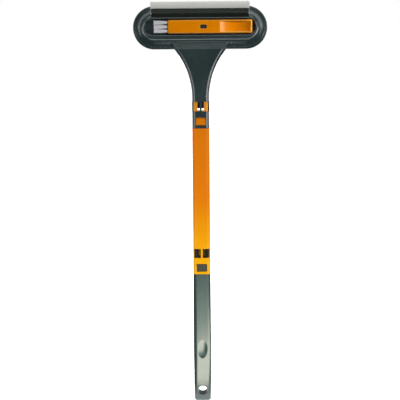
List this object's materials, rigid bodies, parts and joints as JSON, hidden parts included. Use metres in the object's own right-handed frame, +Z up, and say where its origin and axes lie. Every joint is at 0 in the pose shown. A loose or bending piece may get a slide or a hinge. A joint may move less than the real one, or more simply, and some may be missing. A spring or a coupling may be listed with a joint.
{
  "type": "window scrubber",
  "caption": "Long-handled window cleaning tool: racetrack head with squeegee blade, scrubbing pad and clip-in gap brush, on a pole of push-button sections with a hanging hole.",
  "frame": {"origin": "middle of the hanging hole, on the pole's axis", "axes": "+Z up along the pole towards the head, -Y towards the squeegee and gap brush side, +Y towards the scrubbing pad side, +X to the right seen from the squeegee side"},
  "size_m": [0.2152, 0.0583, 0.6651],
  "materials": {
    "green_plastic": "smooth dark green moulded plastic, half gloss",
    "orange_plastic": "smooth orange moulded plastic, half gloss",
    "grey_plastic": "dark grey moulded plastic, satin",
    "blade_rubber": "light grey silicone rubber, matte",
    "pad_fabric": "light grey microfibre pile",
    "hook_fabric": "black nylon hook sheet",
    "pad_foam": "open-cell foam",
    "bristle_nylon": "white nylon filament",
    "anchor_brass": "drawn brass",
    "screw_steel": "zinc-plated steel"
  },
  "bodies": {
    "handle": {"handle_front_shell": "green_plastic", "handle_back_shell": "green_plastic", "handle_screws": "screw_steel", "lower_plug": "green_plastic", "lower_plug_screws": "screw_steel"},
    "lower_button": {"lower_latch": "grey_plastic"},
    "mid_pole": {"mid_pole_tube": "orange_plastic", "upper_plug": "orange_plastic", "upper_plug_screws": "screw_steel"},
    "upper_button": {"upper_latch": "orange_plastic"},
    "head": {"head_shell": "green_plastic", "neck_cover": "green_plastic", "neck_cover_screws": "screw_steel", "pad_plate": "grey_plastic", "pad_plate_screws": "screw_steel", "hook_sheet": "hook_fabric", "pad_backing": "pad_fabric", "pad_foam": "pad_foam", "pad_cover": "pad_fabric", "squeegee_holder": "green_plastic", "squeegee_blade": "blade_rubber", "squeegee_screws": "screw_steel"},
    "gap_brush": {"brush_handle": "orange_plastic", "bristle_tufts": "bristle_nylon", "tuft_anchors": "anchor_brass"}
  },
  "joints": [
    {"name": "pole_pull", "type": "slide", "parent": "handle", "child": "mid_pole", "axis": [0, 0, 1], "range_m": [0, 0.05], "deforming": ["lower_latch"]},
    {"name": "lower_latch_press", "type": "hinge", "parent": "handle", "child": "lower_button", "pos_m": [0, -0.0036, 0.2258], "axis": [1, 0, 0], "range_deg": [0, 14], "stiffness_Nm_per_rad": 0.45},
    {"name": "head_pull", "type": "slide", "parent": "mid_pole", "child": "head", "axis": [0, 0, 1], "range_m": [0, 0.05], "deforming": ["upper_latch"]},
    {"name": "upper_latch_press", "type": "hinge", "parent": "mid_pole", "child": "upper_button", "pos_m": [0, -0.0036, 0.4681], "axis": [1, 0, 0], "range_deg": [0, 14], "stiffness_Nm_per_rad": 0.45},
    {"name": "gap_brush_lift", "type": "slide", "parent": "head", "child": "gap_brush", "axis": [0, -1, 0], "range_m": [0, 0.03]}
  ]
}
